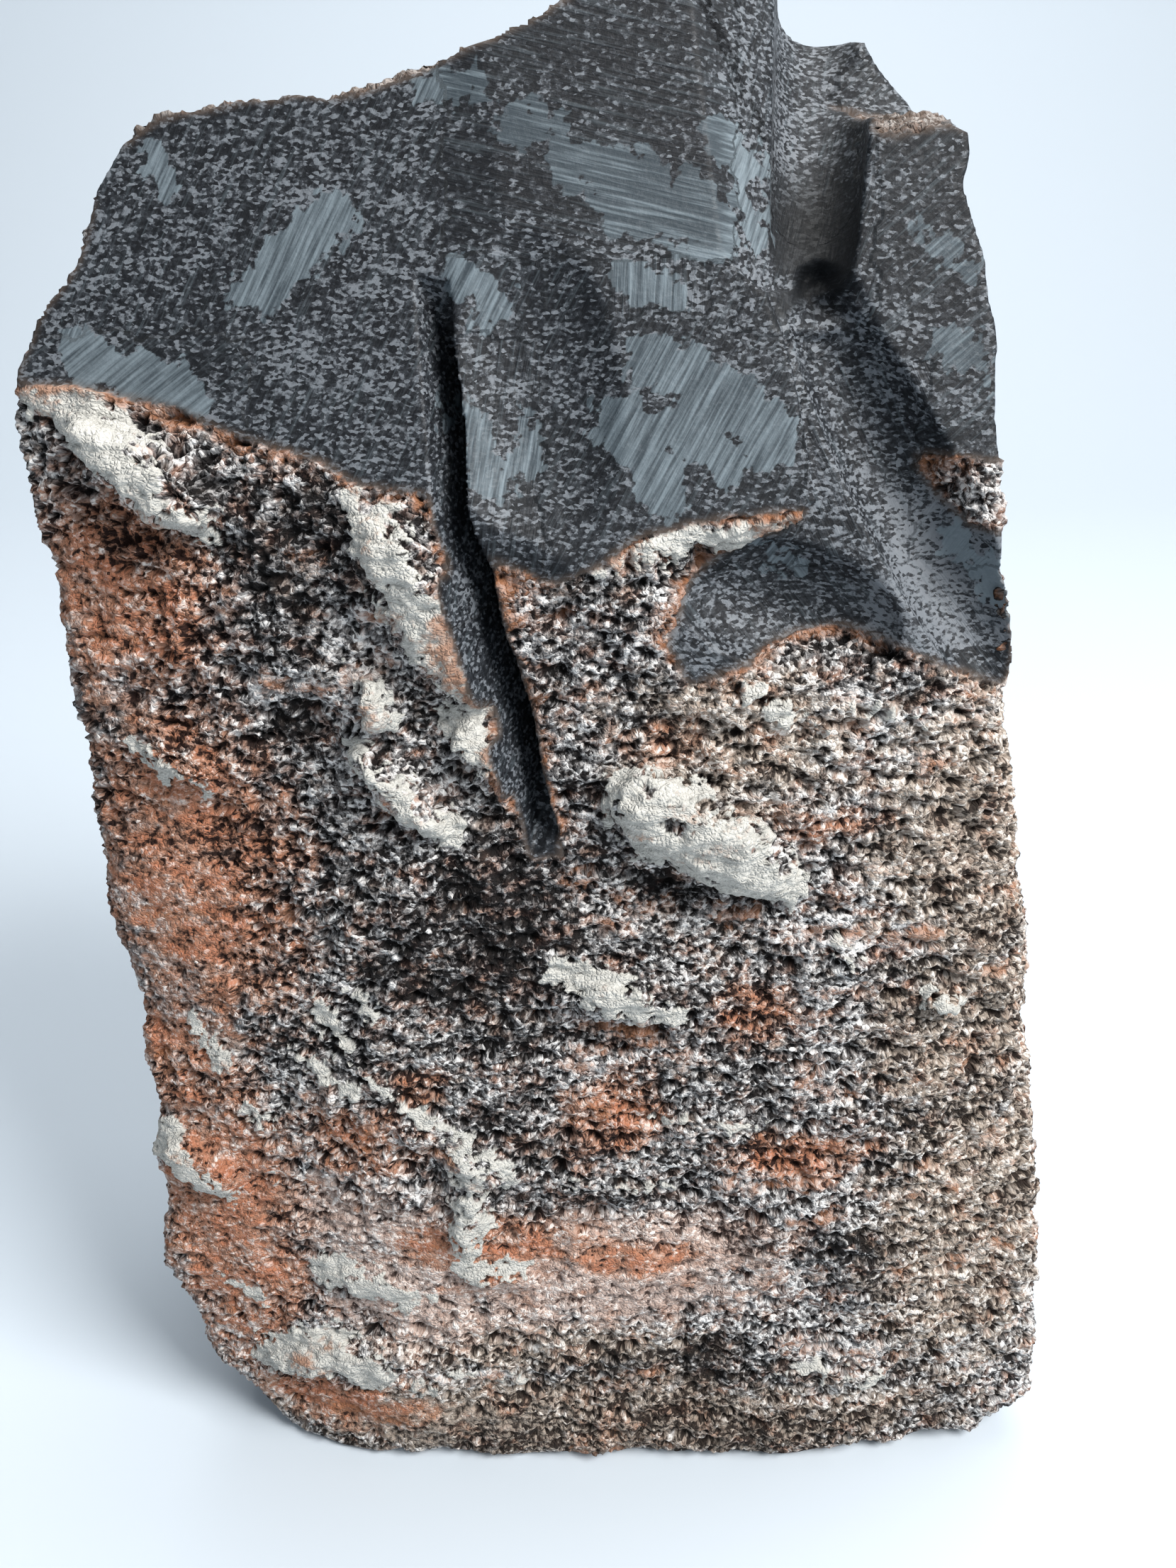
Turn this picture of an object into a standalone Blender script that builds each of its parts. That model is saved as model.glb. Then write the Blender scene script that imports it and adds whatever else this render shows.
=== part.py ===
# Cumberlandite hand specimen: one natural stone whose upper end was ground and filed by tools.
# Metres, +Z up, front face towards -Y, origin at the middle of the underside.
# Places and sizes below are given in millimetres and scaled once by MM.

import bmesh
import bpy
from mathutils import Matrix, Vector

MM = 0.001

# Driving dimensions of the whole stone
HALF_WIDTH = 39.0
FRONT_Y = -20.4
BACK_Y = 20.6
FRONT_FLAT = (-14.0, 24.0)
FRONT_FALL = 0.2
PEAK_Z = 116.0
REST_Z = 0.0

# The finished stone is moved sideways by this, so that the origin lies under its middle
CENTRING = -0.95

# Fineness of the natural skin
SKIN_VOXEL = 1.25
SKIN_KEPT = 0.15
BROAD_SWELL = (15.0, 2.6)
LUMPS = (4.5, 2.0)
CRUMBS = (1.9, 0.7)

# Natural faces of the block: a point on each and the way it faces
NATURAL_FACES = {
    "front": ((0, FRONT_Y, 50), (0.0, -1.0, 0.012)),
    "front left": ((FRONT_FLAT[0], FRONT_Y, 45), (-FRONT_FALL, -1.0, 0.012)),
    "front right": ((FRONT_FLAT[1], FRONT_Y, 40), (FRONT_FALL, -1.0, 0.012)),
    "front left edge": ((-37.0, -15.0, 45), (-0.85, -0.75, 0.0)),
    "left": ((-37.1, 0, 62), (-1.0, 0.04, -0.02)),
    "left heel": ((-35.0, 0, 16), (-1.0, 0.0, -0.2)),
    "left foot": ((-34.8, 0, 8), (-1.0, 0.0, -1.1)),
    "left shoulder": ((-37.0, -10, 89), (-0.87, 0.0, 0.49)),
    "right lower": ((38.6, -17, 12), (0.990, 0.06, 0.13)),
    "right upper": ((33.2, -17, 46), (0.981, -0.07, 0.18)),
    "right foot": ((39.4, -10, 5), (0.8, 0.0, -0.7)),
    "front foot": ((0, -19.7, 0), (0.0, -1.0, -0.6)),
    "back": ((0, BACK_Y, 52), (0.03, 1.0, 0.05)),
    "back hip": ((-8, BACK_Y, 34), (-0.2, 1.0, -0.11)),
    "back left": ((-30, BACK_Y - 5, 50), (-0.72, 0.7, 0.08)),
    "back right": ((27, BACK_Y - 3, 40), (0.55, 0.83, 0.12)),
    "back crown": ((0, BACK_Y - 4, 98), (0.0, 0.8, 0.6)),
    "back foot": ((0, BACK_Y - 2, 5), (0.05, 0.6, -0.8)),
    "top": ((0, 0, PEAK_Z), (0.0, 0.05, 1.0)),
    "underside": ((0, 0, -1.4), (0.0, 0.0, -1.0)),
    "underside right": ((16, 0, -1.2), (0.12, 0.0, -1.0)),
    "underside left": ((-22, 0, -1.2), (-0.3, 0.0, -1.0)),
}

# Feldspar laths standing out of the weathered face: end, end (x, z), breadth, how far they stand out
LATHS = (
    ((-32.0, 89.5), (-24.0, 82.5), 5.0, 2.2),
    ((-13.2, 82.5), (-6.8, 70.8), 5.5, 1.4),
    ((-8.9, 69.2), (-3.6, 63.8), 3.0, 1.2),
    ((-14.2, 72.0), (-13.6, 69.4), 1.8, 1.4),
    ((-15.5, 67.2), (-9.4, 61.2), 2.4, 1.6),
    ((2.2, 64.6), (14.2, 57.6), 6.0, 2.0),
    ((-2.6, 48.6), (6.7, 48.0), 4.4, 1.2),
    ((-14.6, 37.7), (-6.1, 31.4), 1.9, 1.6),
    ((-8.8, 33.0), (-10.3, 23.4), 2.6, 1.5),
    ((-10.3, 21.8), (-4.2, 21.6), 2.0, 1.3),
    ((-3.3, 31.6), (6.2, 30.0), 1.3, 1.3),
    ((5.4, 37.0), (13.7, 35.6), 1.3, 1.2),
    ((-22.0, 20.0), (-14.2, 20.2), 3.4, 1.1),
    ((-27.6, 9.0), (-14.6, 12.4), 5.2, 1.3),
    ((-33.0, 32.4), (-28.2, 29.2), 4.6, 2.2),
    ((15.1, 10.6), (25.2, 10.4), 3.0, 1.0),
    ((17.3, 52.8), (19.4, 50.2), 2.0, 1.0),
    ((24.6, 48.0), (27.0, 46.6), 2.0, 1.0),
    ((-30.2, 67.0), (-25.6, 64.2), 2.6, 1.3),
)

LATH_SIDES = 7
LATH_TIP = 0.16

# Hollows weathered out under the laths: end, end (x, z), breadth, depth
HOLLOWS = (
    ((-31.0, 83.0), (-22.6, 79.6), 3.4, 3.2),
    ((-22.5, 68.4), (-16.2, 67.6), 3.0, 2.6),
    ((-28.0, 60.8), (-23.2, 59.8), 2.8, 2.2),
    ((0.8, 58.0), (12.8, 54.6), 2.6, 2.4),
    ((-16.0, 75.5), (-13.5, 73.0), 2.4, 1.8),
    ((-1.5, 74.6), (2.8, 73.2), 2.8, 1.8),
    ((-4.0, 45.0), (7.6, 45.0), 2.0, 1.6),
    ((-3.2, 29.6), (6.0, 28.2), 1.8, 1.6),
    ((6.0, 34.6), (13.4, 33.2), 1.8, 1.4),
    ((17.5, 18.0), (25.0, 17.0), 3.2, 1.4),
    ((27.5, 54.0), (30.5, 53.4), 2.2, 1.6),
)

# Natural breaks on top and at the left: outlines (x, z) cut right through the block
TOP_BREAK = (
    (-60, 101.5), (-31.0, 102.7), (-25.8, 105.6), (-14.4, 106.5), (-8.4, 108.4), (-5.6, 109.3),
    (-0.5, 111.8), (4.0, 115.4), (13.2, 116.0), (14.6, 112.8), (17.2, 113.0), (20.8, 110.2),
    (22.7, 106.9), (60, 98.0), (60, 140), (-60, 140),
)
WAISTS = {
    "left waist": (-125.0, 38.0, 90.5),
    "left hollow": (-138.4, 67.0, 103.0),
    "right waist": (116.8, 90.4, 91.0),
}
SHOULDER_BREAK = ((20.0, -12.5, 104.6), (0.0, -0.1, 1.0), (5.2, 40), (6, 16))

# Ground facets: a point on the tool's plane, how much it falls back to the right and upwards,
# and the outline (x, z) it reached
FACETS = {
    "plate": (
        (-9.9, -20.0, 84.1), (-0.115, 0.36),
        ((-60, 87), (-32, 88), (-22.5, 85.6), (-9.9, 82.2), (-5.3, 78.3), (-2.6, 76), (-2.6, 140), (-60, 140)),
    ),
    "prow top": (
        (-5.0, -13.3, 104.0), (0.03, 0.38),
        ((-8.6, 96.5), (-4.0, 96.5), (1.3, 97.0), (7.8, 98.2), (60, 98.2), (60, 140), (-8.6, 140)),
    ),
    "prow": (
        (1.3, -15.8, 97.0), (0.05, 0.265),
        ((-5.0, 76), (0.9, 77.5), (7.4, 80.5), (60, 80), (60, 98.4), (7.8, 98.4), (1.3, 97.2), (-6.0, 97.0)),
    ),
    "prow right": (
        (8.0, -15.2, 97.9), (0.9, 0.50),
        ((6.0, 99.6), (8.0, 97.8), (9.4, 96.4), (10.8, 95.4), (12.9, 95.4), (17.0, 140), (-4.0, 140)),
    ),
    "lip": (
        (7.4, -19.5, 82.3), (0.05, 0.16),
        (
            (2.2, 79.6), (3.6, 81.5), (7.4, 82.3), (14.2, 83.0), (15.0, 81.6), (10.6, 79.8),
            (7.0, 78.2), (4.8, 78.6),
        ),
    ),
    "block": (
        (24.0, -18.2, 83.4), (0.03, 0.30),
        (
            (22.0, 82.4), (60, 82.4), (60, 140), (14.0, 140), (15.4, 102), (15.2, 96),
            (14.4, 94.2), (18.7, 91.7), (20.9, 87.5),
        ),
    ),
    "recess": (
        (14.5, -19.9, 74.5), (0.0, 0.257),
        (
            (10.2, 97.0), (11.8, 93.3), (12.9, 89.6), (14.2, 83.4), (10.6, 81.2), (7.4, 79.2),
            (5.6, 77.0), (5.0, 74.6), (6.5, 69.0), (60, 66.0), (60, 79.0), (26.2, 79.8),
            (22.7, 84.2), (20.9, 87.7), (18.7, 91.9), (16.0, 97.0),
        ),
    ),
}

# Round tool marks: middle of the mark, the way it runs, its half length and its half breadth
GROOVES = {
    "scoop": ((-2.4, -26.8, 91.2), (-0.16, 0.30, 0.94), 21.0, 10.3),
    "notch": ((12.3, -21.0, 77.4), (0.92, 0.05, -0.30), 8.5, 4.6),
    "long groove": ((20.5, -18.3, 83.4), (-0.485, 0.197, 0.852), 17.5, 3.4),
}

# The channel filed down from the top: its floor's lower and upper end, its radius there, its height
CHANNEL_FLOOR = ((13.2, -17.0, 92.0), (17.2, 9.0, 113.0))
CHANNEL_RADIUS = (2.5, 3.4)
CHANNEL_HEIGHT = 30.0

# The slot sawn by a thin wheel: its two ends on the face, the way its side faces, its depth and width
SLOT_ENDS = ((-9.6, -15.8, 96.6), (-3.0, -20.4, 60.0))
SLOT_SIDE = (1.0, -0.42, 0.235)
SLOT_DEPTH = 7.5
SLOT_WIDTH = 2.0

STONE_GREY = (0.115, 0.112, 0.108, 1.0)


def mm(values):
    return Vector(values) * MM


def clear_scene():
    for obj in list(bpy.data.objects):
        bpy.data.objects.remove(obj)


def add_collection(name):
    collection = bpy.data.collections.new(name)
    bpy.context.scene.collection.children.link(collection)
    return collection


def add_object(name, bm, collection):
    mesh = bpy.data.meshes.new(name)
    bm.normal_update()
    bm.to_mesh(mesh)
    bm.free()
    obj = bpy.data.objects.new(name, mesh)
    collection.objects.link(obj)
    return obj


def add_cutter(name, bm, matrix, collection, is_round=False):
    cutter = add_object(name, bm, collection)
    if is_round:
        cutter.data.shade_smooth()
    cutter.matrix_world = matrix
    cutter.hide_render = True
    cutter.display_type = "WIRE"
    return cutter


def frame_of(origin, facing):
    # A matrix whose X runs along the surface, Y up along it and Z out of it.
    out = Vector(facing).normalized()
    across = Vector((0, 0, 1)).cross(out).normalized()
    up = out.cross(across)
    turn = Matrix((across, up, out)).transposed().to_4x4()
    return Matrix.Translation(mm(origin)) @ turn


def frame_along(start, end):
    # A matrix at the start whose Z runs to the end.
    axis = Vector(end) - Vector(start)
    return Matrix.Translation(mm(start)) @ axis.to_track_quat("Z", "Y").to_matrix().to_4x4()


def box_mesh(low, high):
    bm = bmesh.new()
    bmesh.ops.create_cube(bm, size=1.0)
    size = mm(high) - mm(low)
    centre = (mm(high) + mm(low)) / 2
    bmesh.ops.scale(bm, vec=size, verts=bm.verts)
    bmesh.ops.translate(bm, vec=centre, verts=bm.verts)
    return bm


def cone_mesh(radius_start, radius_end, length, segments=40):
    bm = bmesh.new()
    bmesh.ops.create_cone(
        bm,
        cap_ends=True,
        segments=segments,
        radius1=radius_start * MM,
        radius2=radius_end * MM,
        depth=length * MM,
        matrix=Matrix.Translation((0, 0, length * MM / 2)),
    )
    return bm


def split_off(bm, point, facing):
    # Breaks the block along a plane and closes the new face.
    geometry = bm.verts[:] + bm.edges[:] + bm.faces[:]
    cut = bmesh.ops.bisect_plane(
        bm, geom=geometry, plane_co=mm(point), plane_no=Vector(facing), clear_outer=True
    )
    edges = [item for item in cut["geom_cut"] if isinstance(item, bmesh.types.BMEdge)]
    if edges:
        bmesh.ops.contextual_create(bm, geom=edges)


def natural_block():
    bm = box_mesh((-HALF_WIDTH - 5, FRONT_Y - 5, -5), (HALF_WIDTH + 5, BACK_Y + 5, PEAK_Z + 5))
    for point, facing in NATURAL_FACES.values():
        split_off(bm, point, facing)
    return bm


def on_front(x, z):
    # The front face falls back towards both of its edges.
    beside = max(0, FRONT_FLAT[0] - x, x - FRONT_FLAT[1])
    return Vector((x, FRONT_Y + FRONT_FALL * beside, z))


def lying_in_front(end_a, end_b, height, tip):
    # The length of a line in the front face, and a matrix at its middle: X along it, Z out of the face.
    a = on_front(*end_a)
    b = on_front(*end_b)
    along = (b - a).normalized()
    out = Vector((0, -1, 0))
    across = out.cross(along)
    if across.z < 0:
        across.negate()
    out = (out - tip * across).normalized()
    across = out.cross(along)
    turn = Matrix((along, across, out)).transposed().to_4x4()
    return (b - a).length, Matrix.Translation(mm((a + b) / 2 + out * height)) @ turn


def add_lath(bm, end_a, end_b, breadth, stand):
    # A flat-topped crystal with sloping sides, tipped so that its lower edge stands out most.
    length, place = lying_in_front(end_a, end_b, stand / 2 - 1.5, LATH_TIP)
    size = Matrix.Diagonal((length / 2 + breadth / 4, breadth / 2, 1, 1)) * MM
    size[3][3] = 1.0
    bmesh.ops.create_cone(
        bm,
        cap_ends=True,
        segments=LATH_SIDES,
        radius1=1.15,
        radius2=0.82,
        depth=stand + 3.0,
        matrix=place @ size,
    )


def add_hollow(bm, end_a, end_b, breadth, depth):
    length, place = lying_in_front(end_a, end_b, 0.6, 0.0)
    size = Matrix.Diagonal((length + breadth, breadth, 2 * depth, 1)) * MM
    size[3][3] = 1.0
    bmesh.ops.create_icosphere(bm, subdivisions=2, radius=0.5, matrix=place @ size)


def add_boolean(obj, cutter, operation="DIFFERENCE"):
    modifier = obj.modifiers.new(cutter.name, "BOOLEAN")
    modifier.operation = operation
    modifier.solver = "EXACT"
    modifier.object = cutter
    modifier.use_self = cutter.name == "laths"
    return modifier


def add_displacement(obj, name, size, strength):
    texture = bpy.data.textures.new(name, "CLOUDS")
    texture.noise_scale = size * MM
    texture.noise_depth = 1
    texture.noise_basis = "ORIGINAL_PERLIN"
    modifier = obj.modifiers.new(name, "DISPLACE")
    modifier.texture = texture
    modifier.texture_coords = "LOCAL"
    modifier.strength = strength * MM
    modifier.mid_level = 0.5


def add_natural_skin(stone):
    remesh = stone.modifiers.new("skin", "REMESH")
    remesh.mode = "VOXEL"
    remesh.voxel_size = SKIN_VOXEL * MM
    add_displacement(stone, "broad swell", *BROAD_SWELL)
    add_displacement(stone, "lumps", *LUMPS)
    add_displacement(stone, "crumbs", *CRUMBS)
    decimate = stone.modifiers.new("fewer faces", "DECIMATE")
    decimate.ratio = SKIN_KEPT


def prism_mesh(outline, front, back):
    # An outline (x, z) carried along Y.
    bm = bmesh.new()
    face = bm.faces.new([bm.verts.new(mm((x, front, z))) for x, z in outline])
    carried = bmesh.ops.extrude_face_region(bm, geom=[face])
    moved = [item for item in carried["geom"] if isinstance(item, bmesh.types.BMVert)]
    bmesh.ops.translate(bm, vec=mm((0, back - front, 0)), verts=moved)
    bmesh.ops.recalc_face_normals(bm, faces=bm.faces)
    return bm


def facet_cutter(name, point, falls, outline, collection):
    # Everything within the outline that stands in front of the plane.
    bm = prism_mesh(outline, -90, 60)
    split_off(bm, point, (-falls[0], 1.0, -falls[1]))
    return add_cutter(name, bm, Matrix.Identity(4), collection)


def groove_cutter(name, middle, axis, half_length, half_breadth, collection):
    bm = bmesh.new()
    turn = Vector(axis).to_track_quat("Z", "Y").to_matrix().to_4x4()
    size = Matrix.Diagonal((half_breadth * MM, half_breadth * MM, half_length * MM, 1))
    bmesh.ops.create_uvsphere(bm, u_segments=40, v_segments=24, radius=1.0, matrix=turn @ size)
    return add_cutter(name, bm, Matrix.Translation(mm(middle)), collection, is_round=True)


def channel_cutter(collection):
    # A round-bottomed channel: a hull over two circles at its floor and the same two lifted.
    start, end = (Vector(point) for point in CHANNEL_FLOOR)
    axis = (end - start).normalized()
    across = axis.cross(Vector((0, 0, 1))).normalized()
    up = across.cross(axis)
    bm = bmesh.new()
    for centre, radius in zip((start, end), CHANNEL_RADIUS):
        ring = frame_along(centre, centre + axis)
        middle = Matrix.Translation(up * radius * MM)
        bmesh.ops.create_circle(bm, segments=32, radius=radius * MM, matrix=middle @ ring)
        lifted = Matrix.Translation(up * CHANNEL_HEIGHT * MM)
        bmesh.ops.create_circle(bm, segments=32, radius=radius * 1.3 * MM, matrix=lifted @ ring)
    hull = bmesh.ops.convex_hull(bm, input=bm.verts)
    loose = [item for item in hull["geom_interior"] if isinstance(item, bmesh.types.BMVert)]
    bmesh.ops.delete(bm, geom=loose, context="VERTS")
    return add_cutter("channel", bm, Matrix.Identity(4), collection, is_round=True)


def slot_cutter(collection):
    # A thin wheel whose rim passes through both ends of the slot.
    top, bottom = (Vector(point) for point in SLOT_ENDS)
    chord = bottom - top
    side = Vector(SLOT_SIDE)
    side = (side - chord * side.dot(chord) / chord.length_squared).normalized()
    outward = chord.cross(side).normalized()
    if outward.y > 0:
        outward.negate()
    half = chord.length / 2
    radius = (half ** 2 + SLOT_DEPTH ** 2) / (2 * SLOT_DEPTH)
    centre = (top + bottom) / 2 + outward * (radius - SLOT_DEPTH)
    start = centre - side * SLOT_WIDTH / 2
    bm = cone_mesh(radius, radius, SLOT_WIDTH, 96)
    return add_cutter("slot", bm, frame_along(start, start + side), collection)


def stone_material():
    material = bpy.data.materials.new("stone")
    material.use_nodes = True
    shader = material.node_tree.nodes["Principled BSDF"]
    shader.inputs["Base Color"].default_value = STONE_GREY
    shader.inputs["Roughness"].default_value = 0.8
    shader.inputs["Metallic"].default_value = 0.0
    return material


def waist_cutter(name, x, z, radius, collection):
    bm = cone_mesh(radius, radius, 120, 128)
    return add_cutter(name, bm, frame_along((x, 60, z), (x, -60, z)), collection)


def natural_breaks(cutters):
    top = add_cutter("top break", prism_mesh(TOP_BREAK, -60, 60), Matrix.Identity(4), cutters)
    point, facing, sides, heights = SHOULDER_BREAK
    bm = box_mesh((-sides[0], -heights[0], 0), (sides[1], heights[1], 30))
    shoulder = add_cutter("shoulder break", bm, frame_of(point, facing), cutters)
    hollows = bmesh.new()
    for hollow in HOLLOWS:
        add_hollow(hollows, *hollow)
    hollows = add_cutter("hollows", hollows, Matrix.Identity(4), cutters)
    waists = [waist_cutter(name, *waist, cutters) for name, waist in WAISTS.items()]
    return (top, shoulder, *waists, hollows)


def build_stone():
    parts = add_collection("cumberlandite")
    cutters = add_collection("cutters")
    stone = add_object("stone", natural_block(), parts)
    stone.data.materials.append(stone_material())
    for cutter in natural_breaks(cutters):
        add_boolean(stone, cutter)
    add_natural_skin(stone)

    laths = bmesh.new()
    for lath in LATHS:
        add_lath(laths, *lath)
    add_boolean(stone, add_cutter("laths", laths, Matrix.Identity(4), cutters), "UNION")
    for name, facet in FACETS.items():
        add_boolean(stone, facet_cutter(name, *facet, cutters))
    for name, groove in GROOVES.items():
        add_boolean(stone, groove_cutter(name, *groove, cutters))
    add_boolean(stone, channel_cutter(cutters))
    add_boolean(stone, slot_cutter(cutters))
    floor = box_mesh((-60, -60, -20), (60, 60, REST_Z))
    add_boolean(stone, add_cutter("resting spot", floor, Matrix.Identity(4), cutters))
    centring = stone.modifiers.new("centring", "DISPLACE")
    centring.direction = "X"
    centring.mid_level = 0.0
    centring.strength = CENTRING * MM
    return stone


clear_scene()
build_stone()
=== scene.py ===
import math

import bmesh
import bpy
import numpy as np
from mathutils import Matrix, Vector


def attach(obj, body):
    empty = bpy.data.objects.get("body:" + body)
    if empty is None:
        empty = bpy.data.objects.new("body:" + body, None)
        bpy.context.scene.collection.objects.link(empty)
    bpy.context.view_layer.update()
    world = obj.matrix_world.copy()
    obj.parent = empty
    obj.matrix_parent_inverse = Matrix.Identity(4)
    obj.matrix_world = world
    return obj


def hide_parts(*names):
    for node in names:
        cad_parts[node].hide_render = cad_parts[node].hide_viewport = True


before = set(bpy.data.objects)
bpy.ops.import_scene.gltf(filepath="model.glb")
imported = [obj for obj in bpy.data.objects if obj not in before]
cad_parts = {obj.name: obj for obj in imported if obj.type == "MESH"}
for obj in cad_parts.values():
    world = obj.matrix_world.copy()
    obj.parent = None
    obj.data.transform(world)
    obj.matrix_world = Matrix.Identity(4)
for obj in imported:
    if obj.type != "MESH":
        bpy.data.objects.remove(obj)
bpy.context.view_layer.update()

# A hand specimen of cumberlandite: weathered to pits and pale laths below, ground and filed above.
# Sizes are in millimetres: x to the right of the camera's line of sight, y to the back, z up.
mm = 0.001
aside = 0.95      # the stone's own middle is this far left of that line

stone = {
    "frontVoxel": 0.22,       # fineness of the mesh in front
    "backVoxel": 0.46,        # and behind, where nothing fine is seen
    "seamY": -9.0,            # the front pieces end here
    "seamLap": 0.7,
    "seamZ": (34.5, 71.5),    # and meet one another here
    "spare": (3.0, 4.0),      # surface kept past the seam while the front and the back are weathered
    "smoothing": 1.5,         # how far the block's broad facets are rounded
    "smoothed": (0.5, 0.1),   # from hardly ground to not ground at all
    "groundSoftness": 0.8,
    "zoneSoftness": 0.5,
    "fringe": 2.2,            # how far rust has spread from the edge of the ground end
}

# The edge of the ground end, in front view (x, z)
groundEdge = (
    (-60, 90.5), (-32.2, 89.9), (-25.7, 88.7), (-22.5, 87.4), (-16.3, 85.8), (-14.2, 84.5),
    (-9.9, 84.1), (-7.4, 81.4), (-5.3, 79.7), (-2.2, 78.5), (0.9, 79.7), (3.1, 81.4), (7.4, 82.3),
    (14.2, 83.0), (9.9, 80.8), (6.5, 78.5), (5.0, 74.6), (6.5, 71.7), (10.1, 73.1), (13.7, 74.6),
    (16.8, 75.1), (20.5, 74.1), (26.8, 71.5), (60, 68), (60, 140), (-60, 140),
)

groundEnd = {
    "front": (-20.0, 84.0, 0.36),   # y at this height, and how fast the facets fall back above it
    "reach": 4.0,                   # facets up to this far behind that are ground
    "facing": (0.42, 2.0),          # so are those that face us this squarely in front of this y
    "level": (0.7, 98.0),           # but not those that face up more than this, above this height
    "sides": (-30.5, 26.5),
    "leftNatural": ((20.8, 85.6), (23.0, 86.0), (30.0, 84.8), (30.0, 81.6), (24.6, 81.7), (22.4, 83.6)),
    "lobe": (13.0, 23.4, 103.5, 12.0),      # left, right, foot and how deep it goes
    "lobeLevel": 0.9,
}

# Places pushed back (or forwards, below 0): middle (x, z), half breadth, half height, how far
dents = ((14.5, 95.3, 1.5, 1.5, 1.9), (14.4, 93.3, 2.0, 0.6, -0.5))
dentEdge = 1.4               # a dent ends at this many times its half size

channel = {
    "start": (13.2, -17.0, 92.0),
    "end": (17.2, 9.0, 113.0),
    "radius": (2.5, 3.4),
    "height": 30.0,
    "flare": 0.3,              # how much wider it is that high up
    "margin": 0.5,
    "shadedFloorMargin": 0.1,
    "shadedFloorFrom": -17.5,        # painted shade on the channel's floor starts behind this y
    "shadedFloorFade": 4.0,
}

slot = {
    "top": (-9.6, -15.8, 96.6),
    "foot": (-3.0, -20.4, 60.0),
    "side": (1.0, -0.42, 0.235),
    "half": 1.2,
    "past": 0.02,              # how far past its ends, as a share of its length
    "depth": -5.0,             # only in front of this y
}

# Feldspar laths of the weathered face: end, end (x, z), breadth and how pale they are
laths = (
    ((-33.6, 89.6), (-27.6, 85.2), 3.4, 0.9), ((-29.0, 85.0), (-24.6, 81.8), 2.6, 0.7),
    ((-13.6, 82.6), (-10.2, 77.0), 3.6, 0.7), ((-11.6, 78.4), (-6.6, 71.0), 3.8, 0.8),
    ((-9.0, 69.4), (-5.6, 66.4), 2.6, 0.9), ((-5.8, 66.6), (-3.8, 63.0), 2.0, 0.7),
    ((-14.4, 71.6), (-13.6, 69.8), 1.9, 1.0), ((-15.6, 67.4), (-12.4, 64.2), 1.6, 0.8),
    ((-12.6, 64.4), (-9.2, 61.0), 2.0, 0.9), ((2.4, 64.6), (7.0, 64.0), 2.8, 0.9),
    ((8.0, 62.6), (11.6, 61.4), 2.0, 0.9),
    ((3.6, 61.8), (9.6, 58.8), 3.6, 1.0), ((8.6, 60.6), (13.6, 57.4), 3.4, 1.0),
    ((-1.8, 50.4), (3.2, 48.6), 3.0, 0.8), ((2.2, 48.2), (6.4, 46.8), 2.6, 0.6),
    ((-14.3, 38.4), (-9.6, 36.2), 1.2, 0.8), ((-9.8, 36.4), (-6.1, 32.2), 1.8, 0.8),
    ((-9.0, 34.6), (-9.6, 24.2), 2.2, 0.9), ((-10.0, 22.4), (-4.8, 22.6), 1.6, 0.8),
    ((-3.3, 31.8), (1.0, 32.0), 0.9, 0.7), ((1.0, 32.0), (6.1, 30.6), 1.1, 0.6),
    ((5.4, 37.0), (8.8, 37.6), 0.8, 0.6), ((8.8, 37.6), (13.4, 36.4), 0.8, 0.6),
    ((-21.6, 20.8), (-17.6, 20.2), 2.4, 1.0), ((-18.8, 20.4), (-14.6, 19.0), 2.8, 0.9),
    ((-27.0, 10.4), (-21.6, 12.4), 4.0, 0.8), ((-23.4, 12.2), (-18.0, 10.6), 4.2, 0.9),
    ((-18.0, 10.2), (-13.0, 8.8), 1.4, 0.6),
    ((-12.0, 11.0), (-5.6, 9.8), 1.3, 0.6), ((-30.2, 18.6), (-27.6, 16.4), 1.3, 0.8),
    ((-30.0, 44.2), (-27.8, 40.2), 1.8, 0.8),
    ((-19.6, 46.8), (-18.2, 43.4), 1.8, 0.8), ((-21.6, 42.0), (-17.4, 39.6), 1.6, 0.7),
    ((-33.4, 32.2), (-31.2, 29.6), 3.2, 1.0), ((-31.4, 30.0), (-29.0, 27.4), 2.4, 0.8),
    ((15.6, 11.2), (20.0, 11.6), 1.8, 0.6), ((20.0, 11.2), (25.0, 9.8), 2.0, 0.5),
    ((17.2, 53.2), (19.0, 51.4), 1.5, 0.6), ((24.5, 48.2), (26.7, 47.1), 1.3, 0.6),
    ((-31.4, 66.4), (-28.8, 64.6), 1.8, 0.8), ((-28.8, 64.8), (-26.4, 63.2), 1.3, 0.6),
    ((1.6, 80.6), (6.8, 81.4), 1.6, 1.0), ((6.8, 81.4), (13.0, 82.0), 1.5, 0.9),
    ((-20.0, 44.6), (-14.6, 39.4), 1.2, 0.6), ((-17.6, 48.4), (-15.8, 46.8), 1.5, 0.6),
    ((10.6, 71.0), (15.0, 69.4), 2.4, 0.5), ((18.0, 70.8), (22.0, 69.4), 1.6, 0.4),
    ((-26.0, 36.0), (-23.6, 35.2), 1.6, 0.6), ((-24.8, 30.4), (-22.8, 31.0), 1.4, 0.5),
)

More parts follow.
